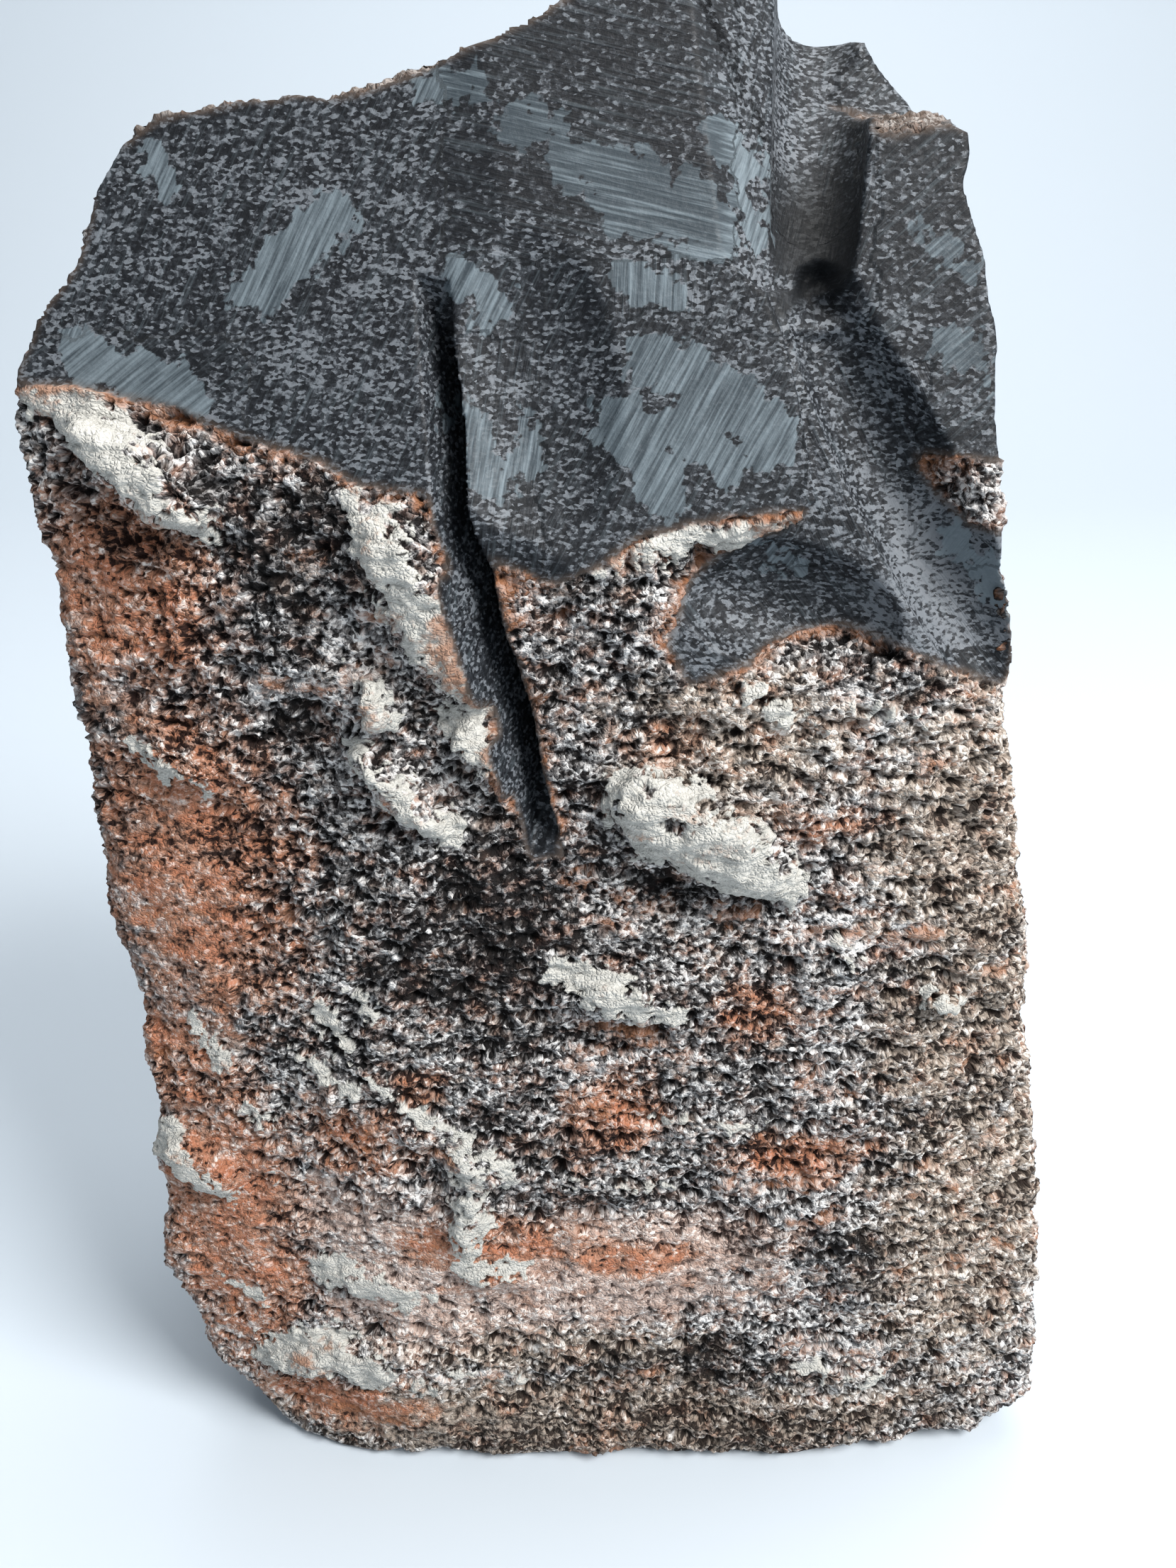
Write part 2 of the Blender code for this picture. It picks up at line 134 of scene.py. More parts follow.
# Feldspar cut through by the wheel and the file, the same way
sparPatches = (
    ((-15.5, 99.4), (-17.6, 97.8), 3.2), ((-17.4, 98.0), (-20.6, 95.4), 2.6),
    ((-31.6, 91.6), (-25.4, 89.6), 2.8), ((-9.4, 106.4), (-6.6, 107.2), 1.9),
    ((-26.4, 103.2), (-25.8, 100.6), 1.4),
    ((-7.6, 96.6), (-5.8, 94.6), 2.2), ((-4.4, 104.5), (-1.8, 104.8), 1.9),
    ((-1.0, 102.6), (6.4, 100.6), 3.0), ((1.6, 100.6), (7.4, 98.9), 3.2), ((2.4, 96.4), (5.4, 95.4), 2.0),
    ((4.0, 91.6), (7.6, 89.8), 3.0), ((6.4, 90.6), (11.0, 87.2), 3.6), ((2.0, 88.2), (5.0, 84.4), 3.6),
    ((5.4, 88.0), (8.4, 86.0), 3.0), ((-7.6, 88.8), (-5.4, 84.6), 2.2), ((-4.2, 88.0), (-3.6, 85.0), 1.2),
    ((20.4, 98.2), (23.4, 96.4), 2.0), ((21.8, 92.8), (24.6, 91.0), 2.0),
    ((7.8, 104.2), (10.2, 102.2), 2.2), ((9.4, 100.4), (10.6, 98.6), 1.6),
    ((21.0, 108.0), (22.4, 105.6), 1.4),
    ((10.6, 81.0), (13.6, 78.4), 1.5), ((24.0, 80.6), (27.0, 76.6), 1.8),
)

# Stains of the weathered face: middle (x, z), half breadth, half height
stains = {
    "rust": (
        (-30.5, 77.0, 7.5, 8.0), (-28.5, 57.0, 8.5, 14.0), (-29.5, 23.5, 7.0, 17.5), (-18.0, 35.0, 5.0, 4.0),
        (-21.4, 61.8, 2.6, 4.0), (-12.6, 40.2, 2.6, 2.4), (1.8, 38.0, 5.0, 3.8), (14.0, 81.0, 3.0, 1.6),
        (5.0, 67.6, 3.2, 2.0), (16.0, 62.0, 3.0, 2.0), (12.0, 47.0, 4.0, 2.6), (-8.0, 24.6, 9.0, 3.0),
        (16.0, 33.6, 6.0, 2.4), (-22.0, 6.0, 8.0, 3.4), (-2.0, 26.0, 3.0, 1.6), (3.5, 23.4, 6.0, 1.8),
        (-31.5, 40.0, 5.0, 8.0),
    ),
    "pink": (
        (-2.5, 22.0, 16.0, 6.0), (8.0, 24.5, 8.0, 4.0), (-20.0, 27.0, 8.0, 4.0), (-14.0, 17.0, 8.0, 4.0),
    ),
    "tan": (
        (31.0, 26.5, 8.5, 17.0), (28.0, 62.0, 9.0, 12.0), (10.0, 68.0, 8.0, 5.0), (0.0, 5.0, 30.0, 5.5),
        (28.0, 45.0, 8.0, 9.0), (-4.0, 14.0, 14.0, 3.0),
    ),
    # The dark ones are partly the stone's own darker charcoal and partly painted shadow under laths and in
    # hollows
    "dark": (
        (22.0, 22.5, 5.0, 4.0), (-19.6, 67.6, 3.6, 1.9), (-26.6, 59.0, 2.8, 1.9), (7.6, 56.6, 6.6, 1.6),
        (-25.8, 80.6, 3.8, 2.0), (-6.0, 56.0, 8.0, 5.0), (2.6, 44.8, 5.0, 1.2), (1.2, 29.6, 5.0, 1.0),
        (-17.0, 77.5, 3.0, 4.0), (10.4, 35.0, 4.0, 1.0), (8.0, 10.5, 12.0, 3.6), (4.0, 4.0, 28.0, 4.0),
        (-8.0, 50.0, 8.0, 4.0), (-18.0, 80.0, 6.0, 4.0), (31.0, 54.0, 3.0, 1.0),
        (24.5, 78.0, 4.0, 1.0),
    ),
    "dust": (
        (-15.0, 22.0, 9.0, 6.5), (2.0, 21.5, 16.0, 4.5), (-30.0, 24.0, 6.0, 14.0), (-31.0, 52.0, 6.0, 14.0),
        (-33.0, 74.0, 4.0, 8.0), (-18.0, 5.0, 12.0, 3.0),
    ),
    "bare": ((27.0, 83.5, 5.0, 3.0),),      # no rust here where the grinding stopped
    "pale": (
        (10.5, 69.0, 7.0, 3.0), (-15.5, 76.5, 3.0, 5.0), (-11.0, 62.5, 4.0, 4.5), (18.0, 55.0, 6.0, 4.0),
        (-17.0, 27.5, 5.0, 5.0), (20.0, 66.0, 8.0, 5.0), (-27.0, 33.0, 5.0, 3.0),
    ),
}
stainFloor = {"rust": 0.22, "tan": 0.12}     # spots of these lie everywhere
stainSpots = {"usual": (2.6, 2.6, 1.6), "rust": (2.2, 2.2, 1.5), "break": 3.2}
stainEdge = 1.5                              # a stain ends at this many times its half breadth
narrowStain = (3.0, 9.0)                     # its strength is (half breadth + 3) / 9, and 1 at most

# Helpers for node trees, shared by the shape and by the finish


def makeNode(tree, kind, links=(), **settings):
    node = tree.nodes.new(kind)
    for name, value in settings.items():
        setattr(node, name, value)
    for socket, value in dict(links).items():
        plug(tree, node.inputs[socket], value)
    return node


def plug(tree, socket, value):
    if isinstance(value, bpy.types.NodeSocket):
        tree.links.new(value, socket)
    else:
        socket.default_value = value


def maths(tree, operation, *values):
    return makeNode(tree, "ShaderNodeMath", enumerate(values), operation=operation).outputs[0]


def vectorMaths(tree, operation, *values):
    return makeNode(tree, "ShaderNodeVectorMath", enumerate(values), operation=operation).outputs[0]


def ramp(tree, value, start, end, low=0.0, high=1.0):
    links = {"Value": value, "From Min": start, "From Max": end, "To Min": low, "To Max": high}
    return makeNode(tree, "ShaderNodeMapRange", links, interpolation_type="SMOOTHSTEP").outputs[0]


def mixColour(tree, share, first, second):
    node = makeNode(tree, "ShaderNodeMix", data_type="RGBA")
    for place, value in ((0, share), (6, first), (7, second)):
        if place and not isinstance(value, bpy.types.NodeSocket):
            value = (*value, 1.0)
        plug(tree, node.inputs[place], value)
    return node.outputs[2]


def mixValue(tree, share, first, second):
    return makeNode(tree, "ShaderNodeMix", {0: share, 2: first, 3: second}, data_type="FLOAT").outputs[0]


def swung(tree, pattern, reach, onto):
    # Adds a pattern to a value, up and down from the pattern's own middle.
    return maths(tree, "MULTIPLY_ADD", maths(tree, "SUBTRACT", pattern, 0.5), reach, onto)


def heightOf(tree, place):
    return makeNode(tree, "ShaderNodeSeparateXYZ", {0: place}).outputs[2]


def stretched(tree, place, size):
    # Divides a place by a size in each direction, so that a pattern of 1 unit gets that size.
    return vectorMaths(tree, "DIVIDE", place, size)


def noise(tree, place, size, detail=2.0, roughness=0.5):
    size = size if isinstance(size, tuple) else (size, size, size)
    links = {"Vector": stretched(tree, place, size), "Scale": 1.0, "Detail": detail, "Roughness": roughness}
    return makeNode(tree, "ShaderNodeTexNoise", links).outputs[0]


def cells(tree, place, size):
    # Irregular cells: how far a place is from their walls, and a number for each cell.
    links = {"Vector": stretched(tree, place, size), "Scale": 1.0}
    walls = makeNode(tree, "ShaderNodeTexVoronoi", links, feature="DISTANCE_TO_EDGE").outputs["Distance"]
    colour = makeNode(tree, "ShaderNodeTexVoronoi", links, feature="F1").outputs["Color"]
    family = "Shader" if tree.bl_idname == "ShaderNodeTree" else "Function"
    return walls, makeNode(tree, family + "NodeSeparateColor", {0: colour}).outputs[0]


def storedValue(tree, name, isPlace=False):
    # What was stored on the mesh under this name.
    if tree.bl_idname == "ShaderNodeTree":
        node = makeNode(tree, "ShaderNodeAttribute", attribute_name=name)
        return node.outputs["Vector" if isPlace else "Fac"]
    kind = "FLOAT_VECTOR" if isPlace else "FLOAT"
    node = makeNode(tree, "GeometryNodeInputNamedAttribute", {0: name}, data_type=kind)
    return node.outputs["Attribute"]


# Where things are on the stone


def distanceToStroke(x, z, stroke):
    # Negative inside a stroke of this breadth between two ends.
    (ax, az), (bx, bz), breadth = stroke[:3]
    along = ((x - ax) * (bx - ax) + (z - az) * (bz - az)) / ((bx - ax) ** 2 + (bz - az) ** 2)
    along = np.clip(along, 0, 1)
    return np.hypot(x - ax - along * (bx - ax), z - az - along * (bz - az)) - breadth / 2


def withinOutline(x, z, outline):
    inside = np.zeros(len(x), bool)
    for (ax, az), (bx, bz) in zip(outline, outline[1:] + outline[:1]):
        if az == bz:
            continue
        crosses = (az > z) != (bz > z)
        inside ^= crosses & (x < ax + (z - az) * (bx - ax) / (bz - az))
    return inside


def withinChannel(place, margin=channel["margin"]):
    start, end = (np.array(channel[key]) for key in ("start", "end"))
    length = np.linalg.norm(end - start)
    axis = (end - start) / length
    across = np.cross(axis, (0, 0, 1))
    across /= np.linalg.norm(across)
    up = np.cross(across, axis)
    along = (place - start) @ axis
    low, high = channel["radius"]
    radius = low + (high - low) * np.clip(along / length, 0, 1)
    height = (place - start) @ up - radius
    side = np.abs((place - start) @ across)
    reach = np.where(height < 0, np.hypot(side, np.minimum(height, 0)), side)
    limit = radius * (1 + channel["flare"] * np.clip(height / channel["height"], 0, 1))
    return (along > -margin) & (reach < limit + margin)


def withinSlot(place):
    top, foot, side = (np.array(slot[key]) for key in ("top", "foot", "side"))
    chord = foot - top
    side = side - chord * (side @ chord) / (chord @ chord)
    side /= np.linalg.norm(side)
    off = np.abs((place - top) @ side)
    along = (place - top) @ chord / (chord @ chord)
    past = slot["past"]
    return (off < slot["half"]) & (along > -past) & (along < 1 + past) & (place[:, 1] < slot["depth"])


def isGround(place, facing):
    x, y, z = place.T
    frontY, frontZ, fall = groundEnd["front"]
    facetY = frontY + fall * np.maximum(0, z - frontZ)
    low, high = groundEnd["sides"]
    squarely, depth = groundEnd["facing"]
    towardsUs = (facing[:, 1] < -squarely) & (y < depth)
    level, levelFrom = groundEnd["level"]
    inner = (x > low) & (x < high) & (y < facetY + groundEnd["reach"])
    inner &= (facing[:, 2] < level) | (z < levelFrom)
    within = withinOutline(x, z, groundEdge) & ~withinOutline(x, z, groundEnd["leftNatural"])
    left, right, foot, depth = groundEnd["lobe"]
    lobe = (x > left) & (x < right) & (z > foot) & (y < depth) & (facing[:, 2] < groundEnd["lobeLevel"])
    return (within & (towardsUs | inner)) | lobe | withinChannel(place) | withinSlot(place)


def stainWeight(x, z, blots):
    weight = np.zeros(len(x))
    for middleX, middleZ, breadth, height in blots:
        away = np.hypot((x - middleX) / breadth, (z - middleZ) / height)
        strength = min(1.0, (breadth + narrowStain[0]) / narrowStain[1])
        weight = np.maximum(weight, np.clip(stainEdge - away, 0, 1) * strength)
    return weight


# Painted light and shade on the ground facets: how much lighter or darker each is painted, as it is lit or
# shaded, within left, right, foot, top
facetLightAndShade = {
    (-8.6, 8.2, 98.2, 120): -0.16, (15.4, 60, 86, 106): -0.10, (18, 60, 74, 84): 0.45,
    (-60, -9.6, 80, 120): 0.07, (9, 14.6, 96, 120): 0.12, (12.6, 19.5, 79, 94): 0.08,
    (4.6, 18, 60, 78.5): 0.06,
}

# Which way the file ran, from the x axis upwards, within left, right, foot, top
strokes = {
    (-60, -21, 80, 93): 36, (-8.8, -2.8, 76, 93): 80, (-2.8, 15, 76, 97.2): 60, (1.2, 7.2, 94.2, 97.6): 88,
    (-8.6, 9, 97.4, 120): -12, (14, 60, 84, 120): 40, (9, 17.6, 93, 120): 68, (13.4, 21, 79, 91.5): -62,
    (2, 60, 60, 79): -50,
}
elsewhere = 62.0

# The borders between these facets run to and fro: how far, and how fast going up and going across
raggedness = ((0.25, 1.3, 1.1), (0.15, 3.7, 3.1))


def ragged(x, z):
    raggedX, raggedZ = x, z
    for reach, paceUp, paceAcross in raggedness:
        raggedX = raggedX + reach * np.sin(paceUp * z)
        raggedZ = raggedZ + reach * np.sin(paceAcross * x)
    return raggedX, raggedZ


# Painted light and shade: how much lighter or darker the ground facet at each place is painted
def paintedFacetLight(x, z):
    tone = np.zeros(len(x))
    for (left, right, foot, top), change in facetLightAndShade.items():
        tone[(x > left) & (x < right) & (z > foot) & (z < top)] = change
    return tone


def strokeAngle(x, z):
    angle = np.full(len(x), elsewhere)
    for (left, right, foot, top), degrees in strokes.items():
        angle[(x > left) & (x < right) & (z > foot) & (z < top)] = degrees
    return np.radians(angle)


# The shape


def applied(obj):
    # The object's mesh with its modifiers applied.
    depsgraph = bpy.context.evaluated_depsgraph_get()
    mesh = bpy.data.meshes.new_from_object(obj.evaluated_get(depsgraph))
    obj.modifiers.clear()
    obj.data = mesh
    return mesh


def readVectors(collection, name):
    values = np.empty(len(collection) * 3, np.float32)
    collection.foreach_get(name, values)
    return values.reshape(-1, 3)


def storeOn(mesh, name, values):
    kind = "FLOAT_VECTOR" if values.ndim == 2 else "FLOAT"
    layer = mesh.attributes.new(name, kind, "POINT")
    layer.data.foreach_set("vector" if values.ndim == 2 else "value", values.astype(np.float32).ravel())


def remeshedStone(voxel):
    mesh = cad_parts["stone"].data.copy()
    whole = bmesh.new()
    whole.from_mesh(mesh)
    bmesh.ops.remove_doubles(whole, verts=whole.verts, dist=1e-6)
    whole.to_mesh(mesh)
    whole.free()
    obj = bpy.data.objects.new("remeshed", mesh)
    bpy.context.scene.collection.objects.link(obj)
    skin = obj.modifiers.new("skin", "REMESH")
    skin.mode = "VOXEL"
    skin.voxel_size = voxel * mm
    skin.use_smooth_shade = True
    applied(obj)
    return obj


def facesOf(mesh):
    corners = np.empty(len(mesh.loops), np.int32)
    mesh.loops.foreach_get("vertex_index", corners)
    return corners.reshape(-1, 4)


def placesOf(mesh):
    # Where its points are, in millimetres, x from the camera's line of sight.
    return readVectors(mesh.vertices, "co") / mm + (aside, 0, 0)


def keptFaces(mesh, keep):
    # A new mesh of the faces whose middles are chosen, and which points of the old one it uses.
    places = readVectors(mesh.vertices, "co")
    faces = facesOf(mesh)
    faces = faces[keep(places[faces].mean(axis=1) / mm)]
    used, faces = np.unique(faces, return_inverse=True)
    new = bpy.data.meshes.new(mesh.name)
    new.from_pydata(places[used], [], faces.reshape(-1, 4))
    return new, used


# Laths, ground feldspar and stains are those of the front face
frontFace = {
    "lathEnd": -13.0,         # laths fade behind this y
    "lathFade": 1.5,
    "faintness": 1.1,         # how much narrower the faintest laths are
    "sparEnd": -6.0,
    "stainEnd": 2.0,
    "stainFade": 8.0,
    "far": 6.0,               # distances to laths and patches are cut off here
}


def storeFeatures(mesh):
    place = placesOf(mesh)
    facing = readVectors(mesh.vertex_normals, "vector")
    x, y, z = place.T
    far = frontFace["far"]
    storeOn(mesh, "place", place)
    storeOn(mesh, "ground", isGround(place, facing).astype(float))
    faint = frontFace["faintness"]
    lath = np.min([distanceToStroke(x, z, stroke) + faint * (1 - stroke[3]) for stroke in laths], axis=0)
    behind = np.clip((y - frontFace["lathEnd"]) / frontFace["lathFade"], 0, 10)
    storeOn(mesh, "lath", np.minimum(lath + behind, far))
    spar = np.min([distanceToStroke(x, z, stroke) for stroke in sparPatches], axis=0)
    behind = np.where(y < frontFace["sparEnd"], 0, 10)
    storeOn(mesh, "spar", np.minimum(spar + behind, far))
    storeOn(mesh, "stroke", strokeAngle(*ragged(x, z)))
    # The tone is the painted light and shade of each ground facet
    storeOn(mesh, "tone", paintedFacetLight(*ragged(x, z)))
    # Painted shade on the channel's floor, fading out below the lobe
    belowLobe = np.clip((groundEnd["lobe"][2] - z) / channel["shadedFloorFade"], 0, 1)
    isShadedFloor = withinChannel(place, channel["shadedFloorMargin"]) & (y > channel["shadedFloorFrom"])
    storeOn(mesh, "floor", isShadedFloor * belowLobe)
    fade = np.clip((frontFace["stainEnd"] - y) / frontFace["stainFade"], 0, 1)
    for name, blots in stains.items():
        storeOn(mesh, name, np.maximum(stainWeight(x, z, blots) * fade, stainFloor.get(name, 0)))


weathering = {
    "lumps": (6.5, 1.6),                  # size and height
    "crumbs": (1.7, 1.1),
    "waver": (1.0, 0.55),                 # how far the cells below are pulled about
    "cavities": ((2.4, 2.4, 1.1), 0.36, 0.4, 0.75),     # size, share of the cells, slope, depth
    "pits": ((0.80, 0.80, 0.46), 0.45, 0.3, 0.42),
    "broad": (6.0, 6.0, 3.2),             # size of the lighter and darker zones
    "grainHeight": 0.20,
    "lathHeight": 0.30,
    "lathCalm": 0.3,                      # what is left of the other relief on a lath
    "dustCalm": (0.2, 1.1, 1.0, 0.4),     # and where dust lies thick
    "flakes": ((2.0, 2.0, 0.42), 0.7),
    "foot": (0.1, 1.4),                   # no relief below the first height, all of it above the second
    "groundEdge": (0.56, 0.42),           # from ground to natural
    "strokeEdge": (0.3, -0.3),            # from outside a lath or a patch to inside
}

# How the outlines are bitten: size of the bites and their reach, coarse and fine
bites = {
    "lath": ((2.0, 4.4), (0.7, 3.6)),
    "spar": ((2.2, 4.2), (0.6, 2.6)),
    "ground": ((1.3, 0.8), (0.5, 0.4)),
}


def bitten(tree, place, distance, name):
    for size, reach in bites[name]:
        distance = swung(tree, noise(tree, place, size, 2.0, 0.6), reach, distance)
    return distance


def wavered(tree, place):
    size, reach = weathering["waver"]
    links = {"Vector": stretched(tree, place, (size, size, size)), "Scale": 1.0, "Detail": 2.0}
    pull = makeNode(tree, "ShaderNodeTexNoise", links).outputs["Color"]
    pull = vectorMaths(tree, "SUBTRACT", pull, (0.5, 0.5, 0.5))
    return vectorMaths(tree, "MULTIPLY_ADD", pull, (2 * reach, 2 * reach, 2 * reach), place)


def stainPattern(tree, place, name):
    # A stain breaks up into spots towards its edge.
    spots = noise(tree, place, stainSpots.get(name, stainSpots["usual"]), 5.0, 0.75)
    return swung(tree, spots, stainSpots["break"], storedValue(tree, name))


def store(tree, geometry, name, value):
    node = makeNode(tree, "GeometryNodeStoreNamedAttribute", data_type="FLOAT", domain="POINT")
    for socket, given in (("Geometry", geometry), ("Name", name), ("Value", value)):
        plug(tree, node.inputs[socket], given)
    return node.outputs[0]


def blurred(tree, value, length, voxel, kind="FLOAT", weight=1.0):
    node = makeNode(tree, "GeometryNodeBlurAttribute", data_type=kind)
    rounds = max(1, round((length / voxel) ** 2))
    for socket, given in (("Value", value), ("Weight", weight), ("Iterations", rounds)):
        plug(tree, node.inputs[socket], given)
    return node.outputs[0]


def movedPoints(tree, geometry, socket, value):
    node = makeNode(tree, "GeometryNodeSetPosition")
    plug(tree, node.inputs["Geometry"], geometry)
    plug(tree, node.inputs[socket], value)
    return node.outputs[0]


def weatheringTree(voxel):
    # Rounds the block's facets, stores every pattern of 1 mm and more, and wears the surface by them.
    tree = bpy.data.node_groups.new("weathering", "GeometryNodeTree")
    for side in ("INPUT", "OUTPUT"):
        tree.interface.new_socket("Geometry", in_out=side, socket_type="NodeSocketGeometry")
    geometry = makeNode(tree, "NodeGroupInput").outputs[0]
    place = storedValue(tree, "place", True)
    soft = blurred(tree, storedValue(tree, "ground"), stone["groundSoftness"], voxel)
    geometry = store(tree, geometry, "ground", soft)
    here = makeNode(tree, "GeometryNodeInputPosition").outputs[0]
    weight = ramp(tree, storedValue(tree, "ground"), *stone["smoothed"])
    rounded = blurred(tree, here, stone["smoothing"], voxel, "FLOAT_VECTOR", weight)
    geometry = movedPoints(tree, geometry, "Position", rounded)

    edge = bitten(tree, place, storedValue(tree, "ground"), "ground")
    geometry = store(tree, geometry, "natural", ramp(tree, edge, *weathering["groundEdge"]))
    spread = blurred(tree, storedValue(tree, "ground"), stone["fringe"], voxel)
    geometry = store(tree, geometry, "fringe", spread)
    # floor holds the painted shade of the channel's floor, tone the painted light and shade of the ground
    # facets
    for name in ("floor", "tone"):
        soft = blurred(tree, storedValue(tree, name), stone["zoneSoftness"], voxel)
        geometry = store(tree, geometry, name, soft)
    geometry = store(tree, geometry, "broad", noise(tree, place, weathering["broad"], 4.0, 0.65))
    for name in ("lath", "spar"):
        edge = bitten(tree, place, storedValue(tree, name), name)
        geometry = store(tree, geometry, name, ramp(tree, edge, *weathering["strokeEdge"]))
    for name in stains:
        geometry = store(tree, geometry, name, stainPattern(tree, place, name))
    waver = wavered(tree, place)
    size, share, slope, cavityDepth = weathering["cavities"]
    walls, number = cells(tree, waver, size)
    chosen = maths(tree, "LESS_THAN", number, share)
    cavity = maths(tree, "MULTIPLY", ramp(tree, walls, 0.0, slope), chosen)
    size, share, slope, pitDepth = weathering["pits"]
    walls, number = cells(tree, waver, size)
    middle = ramp(tree, walls, 0.0, slope)
    chosen = maths(tree, "LESS_THAN", number, share)
    pit = maths(tree, "MULTIPLY", middle, chosen)
    grain = maths(tree, "SUBTRACT", middle, pit)
    geometry = store(tree, geometry, "pit", pit)
    geometry = store(tree, geometry, "cavity", cavity)

    relief = maths(tree, "MULTIPLY", grain, weathering["grainHeight"])
    relief = maths(tree, "MULTIPLY_ADD", storedValue(tree, "pit"), -pitDepth, relief)
    relief = maths(tree, "MULTIPLY_ADD", storedValue(tree, "cavity"), -cavityDepth, relief)
    calm = ramp(tree, storedValue(tree, "lath"), 0.0, 1.0, 1.0, weathering["lathCalm"])
    height = maths(tree, "MULTIPLY", relief, calm)
    for size, reach in (weathering["lumps"], weathering["crumbs"]):
        height = swung(tree, noise(tree, place, size, 2.0), reach, height)
    size, reach = weathering["flakes"]
    flakes = swung(tree, noise(tree, place, size, 2.0), reach, weathering["lathHeight"])
    height = maths(tree, "MULTIPLY_ADD", storedValue(tree, "lath"), flakes, height)
    share = maths(tree, "MULTIPLY", storedValue(tree, "natural"),
                  ramp(tree, heightOf(tree, place), *weathering["foot"]))
    calm = ramp(tree, storedValue(tree, "dust"), *weathering["dustCalm"])
    share = maths(tree, "MULTIPLY", share, calm)
    height = maths(tree, "MULTIPLY", maths(tree, "MULTIPLY", height, share), mm)
    normal = makeNode(tree, "GeometryNodeInputNormal").outputs[0]
    links = {0: normal, "Scale": height}
    offset = makeNode(tree, "ShaderNodeVectorMath", links, operation="SCALE").outputs[0]
    geometry = movedPoints(tree, geometry, "Offset", offset)
    tree.links.new(geometry, makeNode(tree, "NodeGroupOutput").inputs[0])
    return tree


def dented(mesh):
    places = placesOf(mesh)
    moved = readVectors(mesh.vertices, "co")
    for x, z, breadth, height, push in dents:
        away = np.hypot((places[:, 0] - x) / breadth, (places[:, 2] - z) / height)
        share = np.clip(dentEdge - away, 0, 1)
        moved[:, 1] += np.where(places[:, 1] < 0, share ** 2 * (3 - 2 * share) * push * mm, 0)
    mesh.vertices.foreach_set("co", moved.ravel())


def weatheredStone(voxel, keep):
    obj = remeshedStone(voxel)
    part, _ = keptFaces(obj.data, keep)
    obj.data = part
    part.shade_smooth()
    storeFeatures(part)
    dented(part)
    obj.modifiers.new("weathering", "NODES").node_group = weatheringTree(voxel)
    applied(obj)
    return obj


mapMiddle = (0, -6, 57)      # the back is spread out round this place


def addMap(mesh, isFront):
    # The map that paint is laid on: the front as seen from the front, the back spread out round its middle.
    places = readVectors(mesh.vertices, "co") / mm
    if isFront:
        flat = places[:, (0, 2)]
    else:
        outward = places - np.array(mapMiddle)
        off = np.hypot(outward[:, 0], outward[:, 2])
        turn = np.arctan2(off, outward[:, 1]) / np.maximum(off, 1e-6)
        flat = outward[:, (0, 2)] * turn[:, None]
    flat = (flat - flat.min(axis=0)) / np.ptp(flat, axis=0).max()
    corners = np.empty(len(mesh.loops), np.int32)
    mesh.loops.foreach_get("vertex_index", corners)
    mesh.uv_layers.new(name="OFBake").data.foreach_set("uv", flat[corners].astype(np.float32).ravel())


def addPiece(source, name, keep, material):
    # Cuts one piece out, keeps the shading of the whole along its edge, and hangs it on the frame.
    whole = source.data
    normals = readVectors(whole.vertex_normals, "vector")
    mesh, used = keptFaces(whole, keep)
    mesh.name = name
    for layer in whole.attributes:
        if layer.domain != "POINT" or layer.name == "position" or layer.name.startswith("."):
            continue
        width = 3 if layer.data_type == "FLOAT_VECTOR" else 1
        values = np.empty(len(whole.vertices) * width, np.float32)
        layer.data.foreach_get("vector" if width == 3 else "value", values)
        values = values.reshape(-1, width)[used]
        storeOn(mesh, layer.name, values if width == 3 else values.ravel())
    mesh.shade_smooth()
    mesh.normals_split_custom_set_from_vertices(normals[used])
    mesh.materials.append(material)
    addMap(mesh, name != "stoneBack")
    piece = bpy.data.objects.new(name, mesh)
    bpy.context.scene.collection.objects.link(piece)
    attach(piece, "root")
    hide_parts("stone")
    triangles = sum(len(face.vertices) - 2 for face in mesh.polygons)
    print(name, "has", triangles, "triangles")


# The finish

weatheredLook = {
    "hollow": (0.007, 0.006, 0.006),
    "middle": (0.150, 0.144, 0.144),
    "light": (0.66, 0.65, 0.64),
    "toMiddle": (0.05, 0.5),
    "toLight": (0.4, 0.95),
    "fringe": (0.27, 0.115, 0.055),
    "orange": (0.40, 0.115, 0.045),
    "lath": (0.50, 0.49, 0.455),
    "lathGrey": (0.36, 0.355, 0.33),
    "lathCrack": (0.05, 0.048, 0.045),
    "grain": (0.32, 0.32, 0.24),          # size of the finest grains
    "flake": (1.2, 1.2, 0.3),
    "grainBump": 0.10,
    "softBump": 0.35,
    "roughness": 0.85,
}

# How light the weathered face is, and what makes it lighter or darker
weatheredTone = {
    "even": 0.48,
    "fine": 2.0,
    "broad": 1.3,
    "speck": 0.75,
    "pale": 0.15,
    "pit": -0.5,
    "cavity": -0.3,
    "dark": -0.3,
    "foot": (34.0, 12.0, 0.0, 0.10),      # from this height down to that, by so much
    "dust": (0.62, 0.24),                 # dust evens the rest out to this share, and adds this
}

# Each stain in its hollows, between them and on its crests, and how much of it covers
stainLook = {
    "tan": ((0.032, 0.023, 0.018), (0.31, 0.25, 0.20), (0.72, 0.65, 0.58), 0.8),
    "pink": ((0.065, 0.040, 0.033), (0.46, 0.345, 0.295), (0.84, 0.77, 0.72), 0.9),
    "rust": ((0.024, 0.009, 0.006), (0.36, 0.175, 0.105), (0.76, 0.66, 0.60), 0.88),
}

